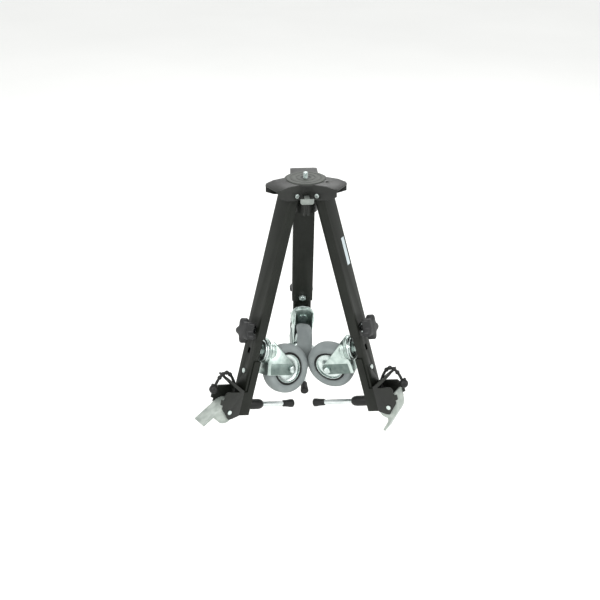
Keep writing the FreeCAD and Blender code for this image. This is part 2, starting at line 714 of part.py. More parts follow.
def caster_fork(arm):
    """Pressed steel fork: crown with the lower race, two legs swept back to the axle, and a back plate."""
    body = new_body("caster_fork_" + arm, caster_frame(arm))
    top = "-race_top - race_height - race_gap"
    plate = top + " - crown_height + crown_wall"
    bore = "king_radius + 0.3"
    revolve(body, "XZ_Plane", polygon(
        (bore, plate + " - crown_wall + 0.3"),
        ("crown_radius", plate + " - crown_wall + 0.3"),
        ("crown_radius", top + " - 1"),
        ("crown_radius - 1.5", top),
        ("crown_radius - 8", top),
        ("crown_radius - 8", plate),
        (bore, plate)))
    under = plate + " - crown_wall + 0.3"
    for side in (1, -1):
        level = "-fork_half" if side > 0 else "fork_half - fork_wall"
        pad(body, "XZ_Plane", [polygon(
            ("-14", under + " + 2"),
            ("-16", under + " - 6"),
            ("caster_trail - fork_lobe * cos(20)", "-axle_drop + fork_lobe * sin(20)"),
            ("caster_trail - fork_lobe * cos(30)", "-axle_drop - fork_lobe * sin(30)"),
            ("caster_trail - fork_lobe * cos(75)", "-axle_drop - fork_lobe * sin(75)"),
            ("caster_trail + fork_lobe * cos(60)", "-axle_drop - fork_lobe * sin(60)"),
            ("caster_trail + fork_lobe", "-axle_drop - fork_lobe * sin(15)"),
            ("caster_trail + fork_lobe", "-fork_back_top"),
            ("caster_trail - fork_lobe", "-fork_back_top"),
            ("18", under + " + 2"))], "fork_wall", level)
    pad(body, "XY_Plane", [rectangle(
        "caster_trail - fork_lobe - 4", "-fork_half + 1",
        "caster_trail + fork_lobe", "fork_half - 1")], "fork_back_height", "-fork_back_top - fork_back_height")
    pocket(body, "XZ_Plane", [circle("axle_radius + running_gap", "caster_trail", "-axle_drop")],
           "3 * fork_half")
    return body


def wheel_tyre(arm):
    """Grey rubber tyre with a rounded tread."""
    body = new_body("wheel_tyre_" + arm, wheel_frame(arm))
    outline = []
    for side in ("", "-"):
        points = [
            ("tyre_inner", side + "(rim_half - 1)"),
            ("tyre_inner + 3", side + "(tyre_half - 1.5)"),
            ("tyre_inner + 5", side + "tyre_half"),
            ("wheel_radius - 6", side + "tyre_half"),
            ("wheel_radius - 2", side + "(tyre_half + tyre_crown_half) / 2"),
            ("wheel_radius", side + "tyre_crown_half")]
        outline += points if side == "" else points[::-1]
    revolve(body, "XY_Plane", polygon(*outline))
    return body


def wheel_rim(arm):
    """Zinc-plated wheel centre: hub, dished disc and the rim under the tyre."""
    body = new_body("wheel_rim_" + arm, wheel_frame(arm))
    outline = []
    for side in ("", "-"):
        points = [
            ("axle_radius + running_gap", side + "wheel_hub_half"),
            ("wheel_hub_radius", side + "wheel_hub_half"),
            ("wheel_hub_radius", side + "rim_web_half * 1.5"),
            ("tyre_inner - rim_wall", side + "rim_web_half"),
            ("tyre_inner - rim_wall", side + "rim_half"),
            ("tyre_inner", side + "rim_half")]
        outline += points if side == "" else points[::-1]
    revolve(body, "XY_Plane", polygon(*outline))
    return body


def axle_bolt(arm):
    """Axle bolt with its head and lock nut outside the fork's legs."""
    body = new_body("axle_bolt_" + arm, wheel_frame(arm))
    pad(body, "XZ_Plane", [circle("axle_radius")], "2 * fork_half + 2", middle=True)
    pad(body, "XZ_Plane", [hexagon("axle_flats")], "axle_head", "fork_half")
    pad(body, "XZ_Plane", [hexagon("axle_flats")], "axle_nut", "-fork_half - axle_nut")
    return body


def foot_clamp(arm):
    """Cast foot clamp: floor and two leaning jaw prongs for the tripod's foot, two cheeks for the pedal."""
    body = new_body("foot_clamp_" + arm, arm_frame(arm))
    base = "bracket_side_high"
    pad(body, "XY_Plane", [rectangle("clamp_start", "-tube_width / 2", "clamp_floor_end", "tube_width / 2")],
        "clamp_floor", base)
    for side in (1, -1):
        level = "-tube_width / 2" if side > 0 else "jaw_gap_half"
        pad(body, "XZ_Plane", [polygon(
            ("clamp_start", base),
            ("clamp_start + jaw_wall * 1.5", base),
            ("clamp_start + jaw_wall * 1.5", base + " + clamp_floor"),
            ("clamp_start - jaw_lean + jaw_wall", base + " + jaw_rise + 1"),
            ("clamp_start - jaw_lean", base + " + jaw_rise"))], "tube_width / 2 - jaw_gap_half", level)
        level = "-tube_width / 2" if side > 0 else "tube_width / 2 - cheek_wall"
        pad(body, "XZ_Plane", [polygon(
            ("clamp_start + 2", base),
            ("pivot_reach + 8", base),
            ("pivot_reach + 15", "pivot_height - 9"),
            ("pivot_reach + 16", "pivot_height - 2"),
            ("pivot_reach - 2", "clamp_height - 4"),
            ("pivot_reach - 7", "clamp_height"),
            ("pivot_reach - 14", "clamp_height"),
            ("pivot_reach - 16", "clamp_height + hook_height"),
            ("pivot_reach - 26", "clamp_height + hook_height"),
            ("pivot_reach - 25", "clamp_height"),
            ("clamp_start + 7", "clamp_height - 1"),
            ("clamp_start + 3", "clamp_height - 5"))], "cheek_wall", level)
    pocket(body, "XZ_Plane", [circle("pivot_radius + running_gap", "pivot_reach", "pivot_height")],
           "2 * tube_width")
    return body


STRAP = [(414.0, 18.5), (400.4, 22.0), (383.9, 33.0), (373.9, 45.0), (376.4, 54.5), (389.4, 62.0),
         (409.4, 69.5)]
BEADED = (2, 3, 4)


def foot_strap(arm):
    """Rubber strap with beads and a pull ball, looping from the clamp's floor over the jaw."""
    radius = size("strap_radius")
    points = [Vector(x, 0, z) for x, z in STRAP]
    shapes = []
    for number, (start, end) in enumerate(zip(points, points[1:])):
        shapes.append(Part.makeCylinder(radius, (end - start).Length, start, end - start))
        if number:
            bead = size("bead_radius") if number in BEADED else radius + 0.05
            shapes.append(Part.makeSphere(bead, start))
    foot = points[0] - Vector(0, 0, points[0].z - size("bracket_side_high") - size("clamp_floor"))
    shapes.append(Part.makeCylinder(radius + 0.6, points[0].z - foot.z + radius, foot))
    shapes.append(Part.makeSphere(size("ball_radius"), points[-1]))
    strap = doc.addObject("Part::Feature", "foot_strap_" + arm)
    strap.Label = "foot_strap_" + arm
    strap.Shape = shapes[0].fuse(shapes[1:]).removeSplitter()
    strap.Placement = arm_frame(arm)
    return strap


def pedal(arm):
    """Cast pedal: a round eccentric cam on the pin, a toe plate, and a tail that the shoe pulls back."""
    body = new_body("pedal_" + arm, pedal_frame(arm))
    pad(body, "XZ_Plane", [circle("cam_radius", "cam_reach", "-cam_drop")], "2 * pedal_half", middle=True)
    pad(body, "XZ_Plane", [polygon(
        ("-tail_reach", "tail_height - toe_thickness"),
        ("-tail_reach", "tail_height"),
        ("0", "tail_height"),
        ("11", "tail_height - 4"),
        ("toe_reach * 0.6", "-toe_drop * 0.2"),
        ("toe_reach", "-toe_drop"),
        ("toe_reach - toe_thickness * 0.7", "-toe_drop - toe_thickness * 0.7"),
        ("toe_reach * 0.6", "-toe_drop * 0.2 - toe_thickness * 1.3"),
        ("cam_reach + cam_radius - 2", "-cam_drop - 4"),
        ("cam_reach", "-cam_drop"),
        ("-cam_reach", "tail_height - toe_thickness"))], "2 * pedal_half", middle=True)
    pocket(body, "XZ_Plane", [circle("pivot_radius + running_gap")], "4 * pedal_half")
    return body


def jack_rod(arm):
    """Bright steel rod with a pusher plate that the cam bears on."""
    body = new_body("jack_rod_" + arm, rod_frame(arm))
    pad(body, "XY_Plane", [rectangle("-pusher_back", "-pusher_half", "pusher_front", "pusher_half")],
        "pusher_height", "-pusher_height")
    pad(body, "XY_Plane", [circle("rod_radius")], "rod_length", "-pusher_height - rod_length")
    return body


def jack_cap(arm):
    """Flared rubber cap on the rod's lower end."""
    body = new_body("jack_cap_" + arm, rod_frame(arm))
    end = "-pusher_height - rod_length"
    revolve(body, "XZ_Plane", polygon(
        ("0", end + " - cap_floor"),
        ("cap_radius - 2", end + " - cap_floor"),
        ("cap_radius", end + " - cap_floor + 2"),
        ("cap_radius", end + " - cap_floor + 7"),
        ("cap_neck", end + " - cap_floor + cap_length"),
        ("rod_radius", end + " - cap_floor + cap_length"),
        ("rod_radius", end),
        ("0", end)))
    return body


def jack_sleeve(arm):
    """Black rubber sleeve that keeps dirt off the rod where it enters the bracket."""
    body = new_body("jack_sleeve_" + arm, arm_frame(arm).multiply(moved(size("rod_reach"), 0, 0)))
    bore = "rod_radius + rod_gap"
    revolve(body, "XZ_Plane", polygon(
        (bore, "-bracket_back"),
        ("sleeve_radius", "-bracket_back"),
        ("sleeve_radius", "-bracket_back - sleeve_length + 6"),
        ("sleeve_radius - 2", "-bracket_back - sleeve_length"),
        (bore, "-bracket_back - sleeve_length")))
    return body


def return_spring(arm):
    """Return spring between the bracket's back and the pusher, shown as the space that its coils fill."""
    top = rod_top(arm) - size("pusher_height") - 0.1
    bottom = -size("bracket_back") + size("bracket_web")
    ring = doc.addObject("Part::Cut", "return_spring_" + arm)
    ring.Label = "return_spring_" + arm
    ring.Base = cylinder("spring_outside_" + arm, "spring_outer", "1")
    ring.Tool = cylinder("spring_inside_" + arm, "spring_inner", "1")
    for part in (ring.Base, ring.Tool):
        part.setExpression("Height", None)
        part.Height = top - bottom
    ring.Placement = arm_frame(arm).multiply(moved(size("rod_reach"), 0, bottom))
    return ring


def slide_fasteners(arm):
    """Caster nut and washer, bracket screw with its nut, and the pedal's riveted pin."""
    face = "-slide_depth / 2"
    washer = cut("stem_washer_" + arm,
                 cylinder("washer_blank_" + arm, "stem_washer_radius", "stem_washer",
                          ("stem_reach", "0", face + " - stem_washer")),
                 cylinder("washer_bore_" + arm, "stem_radius + running_gap", "stem_washer + 2",
                          ("stem_reach", "0", face + " - stem_washer - 1")))
    nut = cut("stem_nut_" + arm,
              hex_prism("stem_nut_blank_" + arm, "stem_nut_flats", "stem_nut_height",
                        ("stem_reach", "0", face + " - stem_washer - stem_nut_height")),
              cylinder("stem_nut_bore_" + arm, "stem_radius + running_gap", "stem_nut_height + 2",
                       ("stem_reach", "0", face + " - stem_washer - stem_nut_height - 1")))
    screw = fuse("bracket_screw_" + arm, [
        cylinder("bracket_shank_" + arm, "bracket_screw_radius", "bracket_back + slide_depth / 2 + 2",
                 ("bracket_screw_reach", "0", "-bracket_back - 2")),
        cylinder("bracket_head_" + arm, "bracket_screw_head", "2",
                 ("bracket_screw_reach", "0", "slide_depth / 2")),
        hex_prism("bracket_nut_" + arm, "2 * bracket_screw_head", "4",
                  ("bracket_screw_reach", "0", "-bracket_back - 4"))])
    rivet = [cylinder("pin_shank_" + arm, "pivot_radius", "tube_width",
                      ("pivot_reach", "-tube_width / 2", "pivot_height"), "y")]
    for side, start in (("a", "tube_width / 2"), ("b", "-tube_width / 2 - pivot_head")):
        rivet.append(cylinder("pin_head_%s_%s" % (side, arm), "pivot_head_radius", "pivot_head",
                              ("pivot_reach", start, "pivot_height"), "y"))
    return group("slide_fasteners_" + arm, [washer, nut, screw, fuse("pedal_pin_" + arm, rivet)],
                 arm_frame(arm))


# ---------------------------------------------------------------- build, check and write

for make in (camera_pad, head_stud, hub_cover, hub_core, hinge_pins, release_latch):
    keep(make())
ARM_PIECES = (arm_tube, clamp_knob, clamp_nut, arm_slide, end_bracket, caster_stem, caster_fork,
              wheel_tyre, wheel_rim, axle_bolt, foot_clamp, foot_strap, pedal, jack_rod, jack_cap,
              jack_sleeve, return_spring, slide_fasteners)
for arm in ARMS:
    for make in ARM_PIECES:
        keep(make(arm))
doc.recompute()

for item in doc.Objects:
    if "Invalid" in item.State or "Error" in item.State:
        raise RuntimeError("%s is %s" % (item.Label, item.State))
for node in NODES:
    if node.Shape.isNull() or not node.Shape.isValid() or not node.Shape.Solids:
        raise RuntimeError("%s has no valid solid" % node.Label)

os.makedirs("parts", exist_ok=True)
for node in NODES:
    node.Shape.exportStep("parts/%s.step" % node.Label)
print("%d nodes written" % len(NODES))
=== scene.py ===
"""Folding three-arm dolly for a camera tripod, folded, above a pale floor.

The hub, its pad and stud come first, then the arms from the hub outwards: tubes, knobs, slides, casters,
foot clamps, straps, pedals and jacks.
"""

import json
import math

import bpy
from mathutils import Matrix, Vector


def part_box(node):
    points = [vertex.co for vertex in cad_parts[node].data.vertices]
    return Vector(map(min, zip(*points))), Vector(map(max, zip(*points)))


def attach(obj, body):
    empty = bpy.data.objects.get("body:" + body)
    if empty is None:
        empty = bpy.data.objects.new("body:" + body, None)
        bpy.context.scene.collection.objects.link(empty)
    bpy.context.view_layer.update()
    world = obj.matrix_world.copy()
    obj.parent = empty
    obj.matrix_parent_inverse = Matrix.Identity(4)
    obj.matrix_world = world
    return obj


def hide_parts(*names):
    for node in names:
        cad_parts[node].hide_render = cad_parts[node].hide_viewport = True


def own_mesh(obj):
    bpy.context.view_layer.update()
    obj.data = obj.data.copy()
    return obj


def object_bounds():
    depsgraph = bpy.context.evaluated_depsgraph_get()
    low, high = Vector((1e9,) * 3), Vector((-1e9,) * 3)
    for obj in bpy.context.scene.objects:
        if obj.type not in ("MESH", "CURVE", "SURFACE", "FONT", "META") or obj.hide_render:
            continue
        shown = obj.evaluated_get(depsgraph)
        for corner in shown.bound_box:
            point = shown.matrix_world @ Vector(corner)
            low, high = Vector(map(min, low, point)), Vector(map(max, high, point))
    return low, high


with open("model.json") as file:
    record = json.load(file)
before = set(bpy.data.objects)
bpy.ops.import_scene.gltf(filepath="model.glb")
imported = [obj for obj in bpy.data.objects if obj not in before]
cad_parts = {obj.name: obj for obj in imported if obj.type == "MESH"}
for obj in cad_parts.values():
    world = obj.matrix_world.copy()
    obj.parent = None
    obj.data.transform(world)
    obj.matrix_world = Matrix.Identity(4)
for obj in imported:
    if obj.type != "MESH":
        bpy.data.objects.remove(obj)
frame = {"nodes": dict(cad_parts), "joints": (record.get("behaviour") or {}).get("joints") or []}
cad_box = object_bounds()
MM = 0.001
NODES = frame["nodes"]
JOINTS = {joint["name"]: joint for joint in frame["joints"]}
ARMS = ("rear", "left", "right")


# ---------------------------------------------------------------- room
# A studio sweep: a pale floor, low enough to clear the feet of an arm drawn out to its end, a large soft
# light on each side and one behind, and the camera a little above the hub.

FLOOR_GREY = "f2f3f1"


def sheet_colour(text):
    """An sRGB hex colour as a linear RGBA tuple."""
    channels = []
    for start in (0, 2, 4):
        value = int(text[start:start + 2], 16) / 255
        linear = value / 12.92 if value <= 0.04045 else ((value + 0.055) / 1.055) ** 2.4
        channels.append(linear)
    return (*channels, 1.0)


def add_node(tree, kind, links=None, **settings):
    """Adds a node, sets its properties or input sockets, and links inputs from other nodes' outputs."""
    node = tree.nodes.new("ShaderNode" + kind)
    for name, value in settings.items():
        if hasattr(node, name):
            setattr(node, name, value)
        else:
            node.inputs[name.replace("_", " ")].default_value = value
    for name, (source, output) in (links or {}).items():
        tree.links.new(source.outputs[output], node.inputs[name])
    return node


def new_material(name, colour, roughness, metallic=0.0, **settings):
    """A material with one Principled shader, whose constant sockets are set directly."""
    material = bpy.data.materials.new(name)
    material.use_nodes = True
    shader = material.node_tree.nodes["Principled BSDF"]
    shader.inputs["Base Color"].default_value = sheet_colour(colour)
    shader.inputs["Roughness"].default_value = roughness
    shader.inputs["Metallic"].default_value = metallic
    for key, value in settings.items():
        shader.inputs[key.replace("_", " ")].default_value = value
    return material, material.node_tree, shader


def two_tones(tree, shader, source, low, high):
    """Blends the base colour between two (position, colour) stops along a noise's value."""
    ramp = add_node(tree, "ValToRGB", {"Fac": (source, "Fac")})
    for stop, (position, colour) in zip(ramp.color_ramp.elements, (low, high)):
        stop.position = position
        stop.color = sheet_colour(colour)
    tree.links.new(ramp.outputs["Color"], shader.inputs["Base Color"])


EXTENSION = 0.100
FLOOR_SIZE, FLOOR_BACK = 14, 3.0
FLOOR_GAP = 0.0006
floor_z = cad_box[0].z - EXTENSION * abs(JOINTS["arm_extend_left"]["axis"][2])
bpy.ops.object.select_all(action="DESELECT")
bpy.ops.mesh.primitive_plane_add(size=FLOOR_SIZE, location=(0, FLOOR_BACK, floor_z - FLOOR_GAP))
floor = bpy.context.object
floor.name = "studio_floor"
floor_paint, floor_tree, floor_shader = new_material("matt white paper", FLOOR_GREY, 0.75)
paper_place = add_node(floor_tree, "TexCoord")
paper_tone = add_node(floor_tree, "TexNoise", {"Vector": (paper_place, "Object")}, Scale=1.5)
two_tones(floor_tree, floor_shader, paper_tone, (0.0, "eeefed"), (1.0, "f6f7f5"))
floor.data.materials.append(floor_paint)

world = bpy.data.worlds.new("studio_air")
bpy.context.scene.world = world
world.use_nodes = True
world.node_tree.nodes["Background"].inputs["Color"].default_value = sheet_colour("ffffff")
world.node_tree.nodes["Background"].inputs["Strength"].default_value = 0.95


def soft_light(name, place, aim, size, power):
    """A square softbox that faces a point."""
    lamp = bpy.data.lights.new(name, "AREA")
    lamp.size = size
    lamp.energy = power
    holder = bpy.data.objects.new(name, lamp)
    bpy.context.scene.collection.objects.link(holder)
    holder.location = place
    holder.rotation_euler = (Vector(aim) - Vector(place)).to_track_quat("-Z", "Y").to_euler()
    return holder


soft_light("overhead_box", (-0.2, -0.3, 2.0), (0, 0, -0.3), 2.2, 26)
soft_light("key_box", (-1.5, -1.9, 1.3), (0, 0, -0.25), 0.9, 34)
soft_light("fill_box", (1.9, -1.4, 0.8), (0, 0, -0.25), 0.9, 22)
soft_light("rim_box", (0.4, 2.0, 1.5), (0, 0, -0.2), 1.0, 16)
bpy.context.scene.view_settings.view_transform = "Standard"

camera_data = bpy.data.cameras.new("studio_camera")
camera = bpy.data.objects.new("studio_camera", camera_data)
bpy.context.scene.collection.objects.link(camera)
bpy.context.scene.camera = camera
CAMERA_AIM = Vector((0, 0, -0.230))
CAMERA_AWAY = 2.5
CAMERA_RISE = math.radians(23.95)
CAMERA_SIDE = math.radians(3.67)
camera.location = CAMERA_AIM + CAMERA_AWAY * Vector((
    -math.sin(CAMERA_SIDE) * math.cos(CAMERA_RISE),
    -math.cos(CAMERA_SIDE) * math.cos(CAMERA_RISE),
    math.sin(CAMERA_RISE)))
camera.rotation_euler = (CAMERA_AIM - camera.location).to_track_quat("-Z", "Y").to_euler()
camera_data.lens = 75
camera_data.sensor_width = 36
camera_data.shift_x = -0.0093
camera_data.shift_y = -0.0223


# ---------------------------------------------------------------- hub cover and core
# The cover is a pressure die casting in aluminium, powder coated in satin black-grey, and its walls are the
# arms' hinge ears.  Under it the core, of the same make, is the centre boss with its ribs.


def pick_only(piece):
    """Selects one piece and makes it the active one."""
    bpy.ops.object.select_all(action="DESELECT")
    piece.select_set(True)
    bpy.context.view_layer.objects.active = piece


def apply_modifier(piece, kind, **settings):
    """Adds a modifier with its settings and applies it to the mesh."""
    pick_only(piece)
    modifier = piece.modifiers.new(kind.lower(), kind)
    for key, value in settings.items():
        setattr(modifier, key, value)
    bpy.ops.object.modifier_apply(modifier=modifier.name)


def round_edges(piece, width, segments=2, limit=28):
    """Bevels the edges sharper than limit degrees, width millimetres wide."""
    apply_modifier(piece, "BEVEL", width=width * MM, segments=segments, limit_method="ANGLE",
                   angle_limit=math.radians(limit))


def smooth(piece, degrees=35):
    """Shades smooth, apart from edges sharper than degrees."""
    pick_only(piece)
    bpy.ops.object.shade_smooth_by_angle(angle=math.radians(degrees))


def eased_copy(node, edge, segments=2, limit=28):
    """The node's solid as a piece of its own, merged, with its sharp edges rounded by edge millimetres."""
    piece = bpy.data.objects.new("eased_" + node, NODES[node].data.copy())
    bpy.context.scene.collection.objects.link(piece)
    pick_only(piece)
    if piece.data.has_custom_normals:
        bpy.ops.mesh.customdata_custom_splitnormals_clear()
    bpy.ops.object.mode_set(mode="EDIT")
    bpy.ops.mesh.select_all(action="SELECT")
    bpy.ops.mesh.remove_doubles(threshold=0.002 * MM)
    bpy.ops.mesh.dissolve_limited(angle_limit=math.radians(1.5), delimit={"NORMAL"})
    bpy.ops.object.mode_set(mode="OBJECT")
    round_edges(piece, edge, segments, limit)
    smooth(piece)
    return piece


def finish(piece, material, body, slot, *stood_for):
    """Gives a finished piece its material and body, and hides the nodes that it stands for; slot is not used.
    """
    piece.data.materials.clear()
    piece.data.materials.append(material)
    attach(piece, body)
    if stood_for:
        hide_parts(*stood_for)
    return piece


def joined(name, *pieces):
    """Several finished pieces as one."""
    pick_only(pieces[0])
    for piece in pieces:
        piece.select_set(True)
    bpy.ops.object.join()
    pieces[0].name = name
    return pieces[0]


def powder_coat(name, colour, light, grain_mm, bump, specular):
    """Powder coat: satin, with the fine orange peel of melted powder, paler where it is thin or rubbed."""
    material, tree, shader = new_material(name, colour, 0.44, 0.0, Specular_IOR_Level=specular)
    place = add_node(tree, "TexCoord")
    peel = add_node(tree, "TexNoise", {"Vector": (place, "Object")}, Scale=1 / (grain_mm * MM), Detail=3.0)
    bumps = add_node(tree, "Bump", {"Height": (peel, "Fac")}, Strength=bump, Distance=0.12 * MM)
    tree.links.new(bumps.outputs["Normal"], shader.inputs["Normal"])
    cloud = add_node(tree, "TexNoise", {"Vector": (place, "Object")}, Scale=1 / (38 * MM), Detail=4.0)
    two_tones(tree, shader, cloud, (0.35, colour), (0.75, light))
    gloss = add_node(tree, "MapRange", {"Value": (cloud, "Fac")}, To_Min=0.36, To_Max=0.52)
    tree.links.new(gloss.outputs["Result"], shader.inputs["Roughness"])
    return material


cast_coat = powder_coat("powder-coated cast aluminium", "0f110e", "1b1e19", 0.9, 0.4, 0.38)
for node, edge in (("hub_cover", 1.1), ("hub_core", 0.8)):
    finish(eased_copy(node, edge), cast_coat, "hub", "black_casting", node)


# ---------------------------------------------------------------- camera pad, stud and hinge pins
# The pad is a moulded disc with two ring grooves, which grips the head's underside.  The stud is zinc-plated
# steel with a rolled 3/8 inch thread.  The arms turn on zinc-plated pins with domed heads.

THREAD_PITCH = 25.4 / 16
THREAD_DEPTH = 0.75
THREAD_FOOT = -12
STUD_RADIUS = 4.7
FLANGE_RADIUS, FLANGE_HEIGHT = 8.8, 4
# The recess floor under the stud, and the top of the black disc laid on it as painted shade.
RECESS_FLOOR, SHADE_DISC_TOP = -1.0, -0.75


def zinc_plate(name, colour, light, roughness):
    """Bright zinc: a grey metal with a cold tint in clouds about 12 mm wide, and fine rolling marks."""
    material, tree, shader = new_material(name, colour, roughness, 1.0)
    place = add_node(tree, "TexCoord")
    cloud = add_node(tree, "TexNoise", {"Vector": (place, "Object")}, Scale=1 / (12 * MM), Detail=3.0)
    two_tones(tree, shader, cloud, (0.3, colour), (0.7, light))
    marks = add_node(tree, "TexNoise", {"Vector": (place, "Object")}, Scale=1 / (0.8 * MM), Detail=2.0)
    gloss = add_node(tree, "MapRange", {"Value": (marks, "Fac")},
                     To_Min=roughness - 0.06, To_Max=roughness + 0.1)
    tree.links.new(gloss.outputs["Result"], shader.inputs["Roughness"])
    bumps = add_node(tree, "Bump", {"Height": (marks, "Fac")}, Strength=0.12, Distance=0.05 * MM)
    tree.links.new(bumps.outputs["Normal"], shader.inputs["Normal"])
    return material


def moulded(name, colour, light, roughness, grain_mm, bump):
    """Moulded rubber or plastic: a fine spark-eroded grain from the mould, and a slight change of tone."""
    material, tree, shader = new_material(name, colour, roughness, 0.0, Specular_IOR_Level=0.3)
    place = add_node(tree, "TexCoord")
    grain = add_node(tree, "TexNoise", {"Vector": (place, "Object")}, Scale=1 / (grain_mm * MM), Detail=2.0)
    bumps = add_node(tree, "Bump", {"Height": (grain, "Fac")}, Strength=bump, Distance=0.1 * MM)
    tree.links.new(bumps.outputs["Normal"], shader.inputs["Normal"])
    cloud = add_node(tree, "TexNoise", {"Vector": (place, "Object")}, Scale=1 / (20 * MM), Detail=4.0)
    two_tones(tree, shader, cloud, (0.3, colour), (0.7, light))
    rough = add_node(tree, "MapRange", {"Value": (cloud, "Fac")},
                     To_Min=roughness - 0.07, To_Max=roughness + 0.07)
    tree.links.new(rough.outputs["Result"], shader.inputs["Roughness"])
    return material


def from_points(name, corners, edges, faces):
    """A new piece in the scene, selected, from corners in millimetres."""
    mesh = bpy.data.meshes.new(name)
    mesh.from_pydata([(x * MM, y * MM, z * MM) for x, y, z in corners], edges, faces)
    piece = bpy.data.objects.new(name, mesh)
    bpy.context.scene.collection.objects.link(piece)
    pick_only(piece)
    return piece


def turned(name, outline, place=Matrix(), steps=64, edge=0.0, closed=False):
    """A piece turned about z from an outline of (radius, height) in millimetres, then set in its place."""
    links = [(i, i + 1) for i in range(len(outline) - 1)]
    if closed:
        links.append((len(outline) - 1, 0))
    piece = from_points(name, [(radius, 0, height) for radius, height in outline], links, [])
    bpy.ops.object.mode_set(mode="EDIT")
    bpy.ops.mesh.select_all(action="SELECT")
    bpy.ops.mesh.spin(steps=steps, angle=2 * math.pi, center=(0, 0, 0), axis=(0, 0, 1))
    bpy.ops.mesh.select_all(action="SELECT")
    bpy.ops.mesh.remove_doubles(threshold=0.001 * MM)
    bpy.ops.mesh.normals_make_consistent(inside=False)
    bpy.ops.object.mode_set(mode="OBJECT")
    if edge:
        round_edges(piece, edge)
    piece.data.transform(place)
    smooth(piece)
    return piece


pad_rubber = moulded("moulded rubber pad", "3a3d39", "464944", 0.55, 0.7, 0.35)
zinc = zinc_plate("zinc-plated steel", "b4c0bd", "d5dedb", 0.26)
finish(eased_copy("camera_pad", 0.3), pad_rubber, "hub", "pad_black", "camera_pad")

stud_low, stud_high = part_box("head_stud")
stud_foot, stud_top = stud_low.z / MM, stud_high.z / MM
thread = [(0, stud_foot), (FLANGE_RADIUS, stud_foot), (FLANGE_RADIUS, stud_foot + FLANGE_HEIGHT),
          (STUD_RADIUS, THREAD_FOOT - 2)]
for ring in range(int((stud_top - 1.6 - THREAD_FOOT) / THREAD_PITCH)):
    foot = THREAD_FOOT + ring * THREAD_PITCH
    thread += [(STUD_RADIUS, foot), (STUD_RADIUS, foot + 0.25 * THREAD_PITCH),
               (STUD_RADIUS - THREAD_DEPTH, foot + 0.6 * THREAD_PITCH)]
thread += [(STUD_RADIUS, stud_top - 1.9), (STUD_RADIUS - 0.5, stud_top - 0.8),
           (STUD_RADIUS - 1.6, stud_top - 0.1), (0, stud_top)]
finish(turned("threaded_stud", thread, steps=48), zinc, "hub", "zinc", "head_stud")
finish(eased_copy("hinge_pins", 0.9, 3), zinc, "hub", "zinc", "hinge_pins")
# Black rubber for the straps, sleeves and caps; the same black also paints shade in the stud's recess and
# between tyre and rim.
black_rubber_and_shade = moulded("black rubber", "101110", "181918", 0.5, 0.9, 0.3)
# Painted shade: a flat black ring on the recess floor around the stud, standing for the shadow in the recess.
painted_shade_disc = turned("recess_painted_shade", [(5.3, RECESS_FLOOR), (9.8, RECESS_FLOOR), (9.8, SHADE_DISC_TOP), (5.3, SHADE_DISC_TOP)],
               steps=48, closed=True)
finish(painted_shade_disc, black_rubber_and_shade, "hub", "rubber_black")


# ---------------------------------------------------------------- release latch
# A stamped finger tab of plain aluminium under the front flange, pressed in to unlock the arms.

PIT_MM = 1.1


def tumbled_cast(name, colour, light):
    """Tumbled cast aluminium: a matt light grey skin with fine pits and paler rubbed patches."""
    material, tree, shader = new_material(name, colour, 0.5, 0.35)
    place = add_node(tree, "TexCoord")
    pits = add_node(tree, "TexVoronoi", {"Vector": (place, "Object")}, Scale=1 / (PIT_MM * MM))
    skin = add_node(tree, "TexNoise", {"Vector": (place, "Object")}, Scale=1 / (14 * MM), Detail=6.0)
    bumps = add_node(tree, "Bump", {"Height": (pits, "Distance")}, Strength=0.2, Distance=0.1 * MM)
    tree.links.new(bumps.outputs["Normal"], shader.inputs["Normal"])
    two_tones(tree, shader, skin, (0.35, colour), (0.65, light))
    gloss = add_node(tree, "MapRange", {"Value": (skin, "Fac")}, To_Min=0.42, To_Max=0.6)
    tree.links.new(gloss.outputs["Result"], shader.inputs["Roughness"])
    return material


cast_grey = tumbled_cast("tumbled cast aluminium", "8a928c", "a6ada7")
tab_grey = tumbled_cast("satin stamped aluminium", "6f7571", "858b86")
finish(eased_copy("release_latch", 0.5), tab_grey, "latch", "cast_grey", "release_latch")


# ---------------------------------------------------------------- arm tubes, slides and end brackets
# Rolled rectangular steel tube, one sliding in the other, and a bent channel at the end.  All are powder
# coated in satin black; the right arm's outer face has a blank silver film label.

TUBE_EDGE = 0.9
LABEL_START, LABEL_END = 98.0, 154.0
LABEL_LOW, LABEL_HIGH = 5.0, 16.0
LABEL_FACE, LABEL_FILM = 10.02, 0.15


def arm_place(arm):
    """From an arm's own frame to the row frame: x along the arm from its hinge, y across, z outwards."""
    swing, extend = JOINTS["arm_swing_" + arm], JOINTS["arm_extend_" + arm]
    along, across = Vector(extend["axis"]), -Vector(swing["axis"])
    place = Matrix((along, across, along.cross(across))).transposed().to_4x4()
    place.translation = Vector(swing["pos_m"])
    return place


tube_coat = powder_coat("powder-coated steel tube", "11140f", "1a1d18", 0.55, 0.3, 0.22)
for arm in ARMS:
    finish(eased_copy("arm_tube_" + arm, TUBE_EDGE, 3), tube_coat, "arm_" + arm, "black_arm",
           "arm_tube_" + arm)
    for node in ("arm_slide_", "end_bracket_"):
        finish(eased_copy(node + arm, 0.5), tube_coat, "slide_" + arm, "black_arm", node + arm)
    finish(eased_copy("clamp_nut_" + arm, 0.5), zinc, "arm_" + arm, "zinc", "clamp_nut_" + arm)
    finish(eased_copy("slide_fasteners_" + arm, 0.45), zinc, "slide_" + arm, "zinc",
           "slide_fasteners_" + arm)

